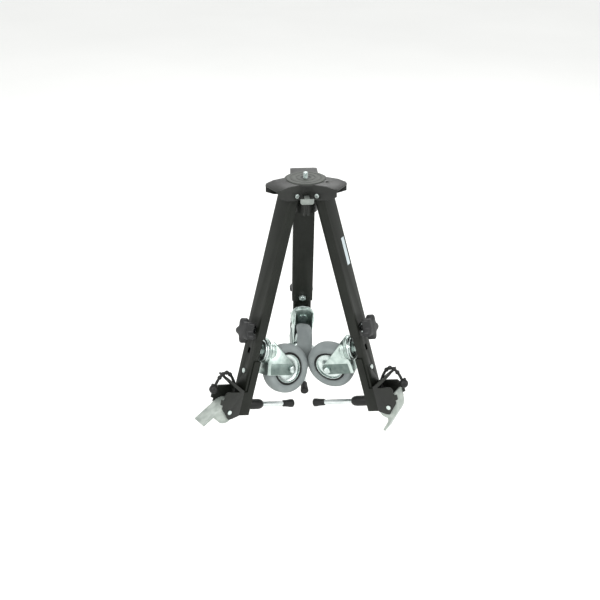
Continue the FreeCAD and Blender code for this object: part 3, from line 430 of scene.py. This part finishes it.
bpy.ops.object.select_all(action="DESELECT")
bpy.ops.mesh.primitive_plane_add(size=1)
label = bpy.context.object
label.name = "blank_label"
label.scale = ((LABEL_END - LABEL_START) * MM, (LABEL_HIGH - LABEL_LOW) * MM, 1)
label.location = ((LABEL_START + LABEL_END) / 2 * MM, (LABEL_LOW + LABEL_HIGH) / 2 * MM,
                  LABEL_FACE * MM)
bpy.ops.object.transform_apply(location=True, rotation=False, scale=True)
bpy.ops.object.mode_set(mode="EDIT")
bpy.ops.mesh.select_all(action="SELECT")
bpy.ops.mesh.extrude_region_move(TRANSFORM_OT_translate={"value": (0, 0, LABEL_FILM * MM)})
bpy.ops.mesh.select_all(action="SELECT")
bpy.ops.mesh.normals_make_consistent(inside=False)
bpy.ops.object.mode_set(mode="OBJECT")
label.data.transform(arm_place("right"))
silver_film = moulded("silver polyester film", "aab6ba", "c3ccce", 0.38, 1.2, 0.05)
finish(label, silver_film, "arm_right", "black_arm")


# ---------------------------------------------------------------- clamp knobs
# Five-lobed star knob, moulded in black glass-filled nylon on a steel bolt, with a bright washer under its
# boss.  The lobes are rounded over, and the middle of the top is a low dome.

KNOB_TIP, KNOB_WAIST = 25.8, 17.5
KNOB_SEAT = 19.7
KNOB_HEIGHT = 16.0
BOSS_RADIUS, BOSS_FOOT = 6.6, 9.2
KNOB_POINTS = 120
KNOB_EDGE = 0.9
nylon = moulded("glass-filled nylon", "1b1c1c", "242525", 0.42, 0.8, 0.4)


def star_radius(turn):
    """The star's outline: narrow rounded lobes and wide scallops between them."""
    lobe = (1 + math.cos(5 * turn)) / 2
    return KNOB_WAIST + (KNOB_TIP - KNOB_WAIST) * lobe ** 1.25


bpy.ops.object.select_all(action="DESELECT")
bpy.ops.mesh.primitive_circle_add(vertices=KNOB_POINTS, radius=KNOB_TIP * MM, fill_type="NGON",
                                  location=(0, 0, KNOB_SEAT * MM))
star = bpy.context.object
bpy.ops.object.transform_apply(location=True)
for corner in star.data.vertices:
    turn = math.atan2(corner.co.y, corner.co.x)
    corner.co.x = star_radius(turn) * MM * math.cos(turn)
    corner.co.y = star_radius(turn) * MM * math.sin(turn)
bpy.ops.object.mode_set(mode="EDIT")
bpy.ops.mesh.select_all(action="SELECT")
for rise, shrink in ((2.2, 1.0), (KNOB_HEIGHT - 6.4, 1.0), (2.6, 0.94), (1.0, 0.86)):
    bpy.ops.mesh.extrude_region_move(TRANSFORM_OT_translate={"value": (0, 0, rise * MM)})
    bpy.ops.transform.resize(value=(shrink, shrink, 1), center_override=(0, 0, 0))
bpy.ops.mesh.inset(thickness=3.0 * MM)
bpy.ops.transform.translate(value=(0, 0, 0.5 * MM))
bpy.ops.mesh.select_all(action="SELECT")
bpy.ops.mesh.normals_make_consistent(inside=False)
bpy.ops.object.mode_set(mode="OBJECT")
round_edges(star, KNOB_EDGE, 3, 35)
smooth(star, 50)
dome = turned("knob_dome", [(0, KNOB_SEAT + 12), (9.5, KNOB_SEAT + 12), (9.0, KNOB_SEAT + 15.0),
                            (6.5, KNOB_SEAT + 15.8), (0, KNOB_SEAT + 16.0)], steps=40)
boss = turned("knob_boss", [(0, BOSS_FOOT), (BOSS_RADIUS - 1, BOSS_FOOT), (BOSS_RADIUS, BOSS_FOOT + 1),
                            (BOSS_RADIUS, KNOB_SEAT - 2), (BOSS_RADIUS + 3.5, KNOB_SEAT + 0.5),
                            (0, KNOB_SEAT + 0.5)], steps=40)
joined("star_knob", star, dome, boss)
washer = turned("knob_washer", [(4.1, 7.65), (8.5, 7.65), (8.5, 9.15), (4.1, 9.15)], steps=48, edge=0.25,
                closed=True)
bolt = turned("knob_bolt", [(0, -17.9), (3.4, -17.9), (3.9, -17.3), (3.9, 10), (0, 10)], steps=24)
for arm in ARMS:
    knob_turn = JOINTS["knob_turn_" + arm]
    place = arm_place(arm)
    place.translation = Vector(knob_turn["pos_m"])
    for part, material, slot in ((star, nylon, "knob_black"), (washer, zinc, "zinc"), (bolt, zinc, "zinc")):
        piece = bpy.data.objects.new("%s_%s" % (part.name, arm), part.data.copy())
        bpy.context.scene.collection.objects.link(piece)
        piece.data.transform(place)
        nodes = ["clamp_knob_" + arm] if part is star else []
        finish(piece, material, "knob_" + arm, slot, *nodes)
for part in (star, washer, bolt):
    bpy.data.objects.remove(part)


# ---------------------------------------------------------------- caster heads and forks
# Pressed steel, zinc plated.  The two ball races are cupped pressings that roll over each other in bulging
# rings, held by a king pin.  The fork's legs are flat plates with a folded strip around the axle.

LEG_IN, LEG_OUT, STRIP_OUT = 18.0, 19.6, 20.8
TRAIL, DROP, LOBE = 36.0, -77.0, 12.5
STRIP_TOP, STRIP_START = -29.0, 25.5


def caster_place(arm):
    """From a caster's own frame to the dolly's: z along the swivel, y along the axle, x towards the trail."""
    swivel, spin = JOINTS["caster_swivel_" + arm], JOINTS["wheel_spin_" + arm]
    stem, axle = arm_place(arm).to_3x3().col[2].normalized(), Vector(spin["axis"])
    place = Matrix((axle.cross(stem), axle, stem)).transposed().to_4x4()
    place.translation = Vector(swivel["pos_m"])
    return place


def wheel_place(arm):
    """From a wheel's own frame to the dolly's: z along the axle."""
    spin = JOINTS["wheel_spin_" + arm]
    place = Vector(spin["axis"]).to_track_quat("Z", "Y").to_matrix().to_4x4()
    place.translation = Vector(spin["pos_m"])
    return place


def plate(name, corners, low, high, place, edge=0.4):
    """A flat plate: an outline of (x, z) millimetres, thick from y low to y high."""
    piece = from_points(name, [(x, low, z) for x, z in corners], [], [range(len(corners))])
    bpy.ops.object.mode_set(mode="EDIT")
    bpy.ops.mesh.select_all(action="SELECT")
    bpy.ops.mesh.extrude_region_move(TRANSFORM_OT_translate={"value": (0, (high - low) * MM, 0)})
    bpy.ops.mesh.select_all(action="SELECT")
    bpy.ops.mesh.normals_make_consistent(inside=False)
    bpy.ops.object.mode_set(mode="OBJECT")
    round_edges(piece, edge)
    piece.data.transform(place)
    smooth(piece)
    return piece


def lobe_arc(radius, first, last, steps=10):
    """Points on the rounded end of a leg, about the axle, from one angle to another in degrees."""
    turns = [math.radians(first + (last - first) * step / steps) for step in range(steps + 1)]
    return [(TRAIL + radius * math.cos(turn), DROP + radius * math.sin(turn)) for turn in turns]


UPPER_RACE = [(0, 5.5), (5.9, 5.5), (5.9, -9.6), (15, -10.1), (21, -10.5), (22.6, -11.4), (22.8, -12.6),
              (21.6, -13.5), (24.0, -14.0), (25.6, -15.2), (25.6, -16.6), (24.2, -17.5), (23, -18),
              (7, -18), (7, -26.1), (10.6, -26.1), (10.9, -27), (10.4, -29), (0, -29.2)]
LOWER_RACE = [(7.4, -25.7), (22.8, -25.7), (24.4, -25.0), (24.8, -23.9), (24.2, -22.9), (23.0, -22.3),
              (24.6, -21.6), (24.9, -20.5), (24.4, -19.3), (23.4, -18.7), (17, -18.7), (17, -23), (7.4, -23)]
LEG = [(-14, -23), (-19.5, -26), (-19, -32), *lobe_arc(LOBE, 205, 355),
       (TRAIL + LOBE, -23.6), (TRAIL + LOBE - 2, -21.2), (TRAIL - LOBE, -21.2), (17, -23)]
STRIP = [(STRIP_START, STRIP_TOP), (STRIP_START - 0.8, DROP - 2), *lobe_arc(LOBE - 0.8, 190, 355),
         (TRAIL + LOBE - 0.7, STRIP_TOP)]
SKIRT = [(19, -25.6), (24.2, -25.8), (24.8, -27.4), (24.6, -29), (23.6, -30), (24.0, -30.8), (24.3, -32.2),
         (23.8, -33.6), (22.8, -34.4), (22.9, -35.4), (22.6, -36.8), (21.4, -37.8), (19, -38)]


def skirt(place):
    """The crown's ribbed sides, rolled outside each leg; the middle is open for the wheel."""
    ring = turned("skirt", SKIRT, steps=56, closed=True)
    bpy.ops.object.select_all(action="DESELECT")
    bpy.ops.mesh.primitive_cube_add(size=1)
    gap = bpy.context.object
    gap.dimensions = (80 * MM, 2 * LEG_IN * MM, 80 * MM)
    bpy.ops.object.transform_apply(scale=True)
    apply_modifier(ring, "BOOLEAN", operation="DIFFERENCE", object=gap)
    bpy.data.objects.remove(gap)
    ring.data.transform(place)
    return ring


fork_zinc = zinc_plate("zinc-plated pressed steel", "9fafa9", "c6d2cd", 0.32)
strip_zinc = zinc_plate("dull zinc-plated steel", "5e6b67", "77847f", 0.42)
for arm in ARMS:
    place = caster_place(arm)
    finish(turned("upper_race_" + arm, UPPER_RACE, place, 56), zinc, "slide_" + arm, "zinc",
           "caster_stem_" + arm)
    legs, strips = [], []
    for side in (1, -1):
        low, high = sorted((side * LEG_IN, side * LEG_OUT))
        legs.append(plate("leg", LEG, low, high, place))
        low, high = sorted((side * (LEG_OUT - 0.3), side * STRIP_OUT))
        strips.append(plate("strip", STRIP, low, high, place, 0.5))
    legs.append(turned("lower_race", LOWER_RACE, place, 56, closed=True))
    legs.append(skirt(place))
    bridge = [(TRAIL - LOBE - 3.5, -21.2), (TRAIL + LOBE - 0.4, -21.2), (TRAIL + LOBE - 0.4, -23.4),
              (TRAIL - LOBE - 3.5, -23.4)]
    legs.append(plate("bridge", bridge, -LEG_IN, LEG_IN, place))
    finish(joined("fork_" + arm, *legs), fork_zinc, "fork_" + arm, "zinc", "caster_fork_" + arm)
    finish(joined("fork_strips_" + arm, *strips), strip_zinc, "fork_" + arm, "zinc")
    finish(eased_copy("axle_bolt_" + arm, 0.8, 3), zinc, "fork_" + arm, "zinc", "axle_bolt_" + arm)


# ---------------------------------------------------------------- wheels
# A grey rubber tyre with a rounded tread, moulded on a dished zinc-plated centre.  A thin black ring in the
# gap between the two is painted shade, standing for the shadow at the tyre's inner edge.

TYRE_SIDE = [(33.6, 8), (33.8, 12.6), (36, 14.2), (40, 15.5), (43.6, 15.5), (46.6, 13.6), (48.7, 10.6),
             (49.7, 6.4), (49.95, 2)]
SHADE_RING_SIDE = [(29.3, 5), (29.3, 9.6), (30.4, 10.4), (33.2, 10.4), (33.5, 9.6), (33.5, 5)]
RIM_SIDE = [(4.1, 17.5), (8.6, 17.5), (9.6, 16.6), (9.8, 12), (11.5, 9), (15, 7.2), (23, 6.4), (26.4, 7.6),
            (27.2, 10.4), (27.9, 11.8), (28.9, 11.8), (29.2, 10.8)]


def both_sides(half):
    """An outline and its mirror image, as one ring about the wheel's axle."""
    return half + [(radius, -height) for radius, height in half[::-1]]


tyre_rubber = moulded("grey rubber", "737a7a", "7f8685", 0.6, 0.8, 0.25)
for arm in ARMS:
    place = wheel_place(arm)
    finish(turned("tyre_" + arm, both_sides(TYRE_SIDE), place, 96, closed=True), tyre_rubber,
           "wheel_" + arm, "tyre_grey", "wheel_tyre_" + arm)
    # Painted shade: a black ring between tyre and rim, standing for the shadow in the gap.
    finish(turned("seal_ring_" + arm, both_sides(SHADE_RING_SIDE), place, 96, closed=True), black_rubber_and_shade,
           "wheel_" + arm, "rubber_black")
    finish(turned("rim_" + arm, both_sides(RIM_SIDE), place, 96, closed=True), zinc, "wheel_" + arm, "zinc",
           "wheel_rim_" + arm)


# ---------------------------------------------------------------- foot clamps and straps
# The clamp is cast aluminium, powder coated.  The strap is one rubber moulding with beads to pull it tight,
# a ball to hold it by, and a nub beside the ball.

STRAP_LINE = [(414.0, 18.5), (400.4, 22.0), (383.9, 33.0), (374.4, 45.0), (377.4, 56.0), (389.4, 64.0),
              (409.4, 69.5)]
STRAP_RADIUS, BEAD_RADIUS, BALL_RADIUS = 2.9, 4.5, 9.1
BEADS = (0.42, 0.54, 0.66, 0.78)
NUB = (400.5, 73.6)
SPAN_STEPS = 8


def spline(points, amount):
    """A point on a smooth curve through the points, amount running from 0 to 1."""
    spans = len(points) - 1
    span = min(int(amount * spans), spans - 1)
    t = amount * spans - span
    before, first, last, after = (Vector(points[min(max(span + k, 0), spans)]) for k in (-1, 0, 1, 2))
    return 0.5 * (2 * first + (last - before) * t + (2 * before - 5 * first + 4 * last - after) * t ** 2
                  + (3 * first - before - 3 * last + after) * t ** 3)


def swept(name, line, radius, outs, sides=16):
    """A round bar along a line of points, closed at both ends; outs are directions square to the line."""
    corners, faces = [], []
    for index, middle in enumerate(line):
        ahead = (line[min(index + 1, len(line) - 1)] - line[max(index - 1, 0)]).normalized()
        out = outs[index]
        up = ahead.cross(out)
        for side in range(sides):
            turn = 2 * math.pi * side / sides
            corners.append(middle + radius * (math.cos(turn) * out + math.sin(turn) * up))
    for ring in range(len(line) - 1):
        for side in range(sides):
            following = (side + 1) % sides
            faces.append((ring * sides + side, ring * sides + following, (ring + 1) * sides + following,
                          (ring + 1) * sides + side))
    faces.append(range(sides))
    faces.append(range((len(line) - 1) * sides, len(line) * sides))
    piece = from_points(name, corners, [], faces)
    bpy.ops.object.mode_set(mode="EDIT")
    bpy.ops.mesh.select_all(action="SELECT")
    bpy.ops.mesh.normals_make_consistent(inside=False)
    bpy.ops.object.mode_set(mode="OBJECT")
    return piece


def ball(x, z, radius):
    """A ball on the arm's middle plane, in the arm's own frame."""
    bpy.ops.object.select_all(action="DESELECT")
    bpy.ops.mesh.primitive_uv_sphere_add(segments=32, ring_count=16, radius=radius * MM,
                                         location=(x * MM, 0, z * MM))
    bpy.ops.object.transform_apply(location=True)
    return bpy.context.object


STRAP_CURVE = [Vector((x, 0, z)) for x, z in STRAP_LINE]
for arm in ARMS:
    finish(eased_copy("foot_clamp_" + arm, 1.0), cast_coat, "slide_" + arm, "black_casting",
           "foot_clamp_" + arm)
    steps = SPAN_STEPS * (len(STRAP_LINE) - 1)
    line = [spline(STRAP_CURVE, step / steps) for step in range(steps + 1)]
    bar = swept("bar", line, STRAP_RADIUS, [Vector((0, 1, 0))] * len(line))
    root = turned("root", [(0, 14), (3.5, 14), (3.5, 20), (2.5, 21.3), (0, 21.5)],
                  Matrix.Translation((STRAP_LINE[0][0] * MM, 0, 0)), 24)
    beads = []
    for amount in BEADS:
        bead = spline(STRAP_CURVE, amount)
        beads.append(ball(bead.x, bead.z, BEAD_RADIUS))
    strap = joined("strap_" + arm, bar, root, *beads, ball(*STRAP_LINE[-1], BALL_RADIUS),
                   ball(*NUB, 3.4))
    strap.data.transform(arm_place(arm))
    smooth(strap, 50)
    finish(strap, black_rubber_and_shade, "slide_" + arm, "rubber_black", "foot_strap_" + arm)


# ---------------------------------------------------------------- pedals, jack rods and their caps
# Pedals are tumbled aluminium castings.  Each jack is a bright ground rod under the pedal's cam, in a rubber
# sleeve, with a flared rubber cap at its foot and a coiled return spring inside the bracket.

ROD_REACH = 443.4
CAP_MIDDLE = 5.5
SLEEVE = [(5.4, -13), (10.6, -13), (10.6, -20), (10.1, -21), (10.5, -22), (10.6, -44), (9.8, -49.5),
          (8.0, -53.5), (6.2, -54.9), (5.4, -54.9)]
CAP = [(0, -7), (7.2, -7), (8.3, -6), (8.45, -4), (8.3, 0), (7.5, 4), (7.1, 10), (6.9, 16.4), (6.1, 18),
       (5.1, 18), (5.1, 0.1), (0, 0.1)]
SPRING_FOOT, SPRING_TOP = -10.2, {"rear": 16.8, "left": 16.8, "right": 3.8}
COILS, COIL_STEPS = 6, 144
COIL_RADIUS, WIRE_RADIUS = 5.85, 0.42
spring_steel = zinc_plate("oiled spring steel", "7a8180", "959c9a", 0.3)
chrome = zinc_plate("bright ground steel", "c9d1d1", "e0e5e4", 0.16)
for arm in ARMS:
    finish(eased_copy("pedal_" + arm, 1.0), cast_grey, "pedal_" + arm, "cast_grey", "pedal_" + arm)
    finish(eased_copy("jack_rod_" + arm, 0.3), chrome, "jack_" + arm, "bright_rod", "jack_rod_" + arm)
    reach = arm_place(arm) @ Matrix.Translation((ROD_REACH * MM, 0, 0))
    finish(turned("sleeve_" + arm, SLEEVE, reach, 48, closed=True), black_rubber_and_shade, "slide_" + arm,
           "rubber_black", "jack_sleeve_" + arm)
    low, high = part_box("jack_cap_" + arm)
    outward = reach.to_3x3().col[2].normalized()
    middle = (low + high) / 2 - reach.translation
    foot = Matrix.Translation(outward * (middle.dot(outward) - CAP_MIDDLE * MM)) @ reach
    finish(turned("cap_" + arm, CAP, foot, 48), black_rubber_and_shade, "jack_" + arm, "rubber_black", "jack_cap_" + arm)
    low_end, high_end = SPRING_FOOT, SPRING_TOP[arm]
    turns = [2 * math.pi * COILS * step / COIL_STEPS for step in range(COIL_STEPS + 1)]
    rise = (high_end - low_end - 2 * WIRE_RADIUS) / COIL_STEPS
    outs = [Vector((math.cos(turn), math.sin(turn), 0)) for turn in turns]
    line = [COIL_RADIUS * out + Vector((0, 0, low_end + WIRE_RADIUS + rise * step))
            for step, out in enumerate(outs)]
    spring = swept("spring_" + arm, line, WIRE_RADIUS, outs, 8)
    spring.data.transform(reach)
    smooth(spring, 50)
    finish(spring, spring_steel, "slide_" + arm, "spring_steel", "return_spring_" + arm)
    if arm != "right":
        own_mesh(spring)
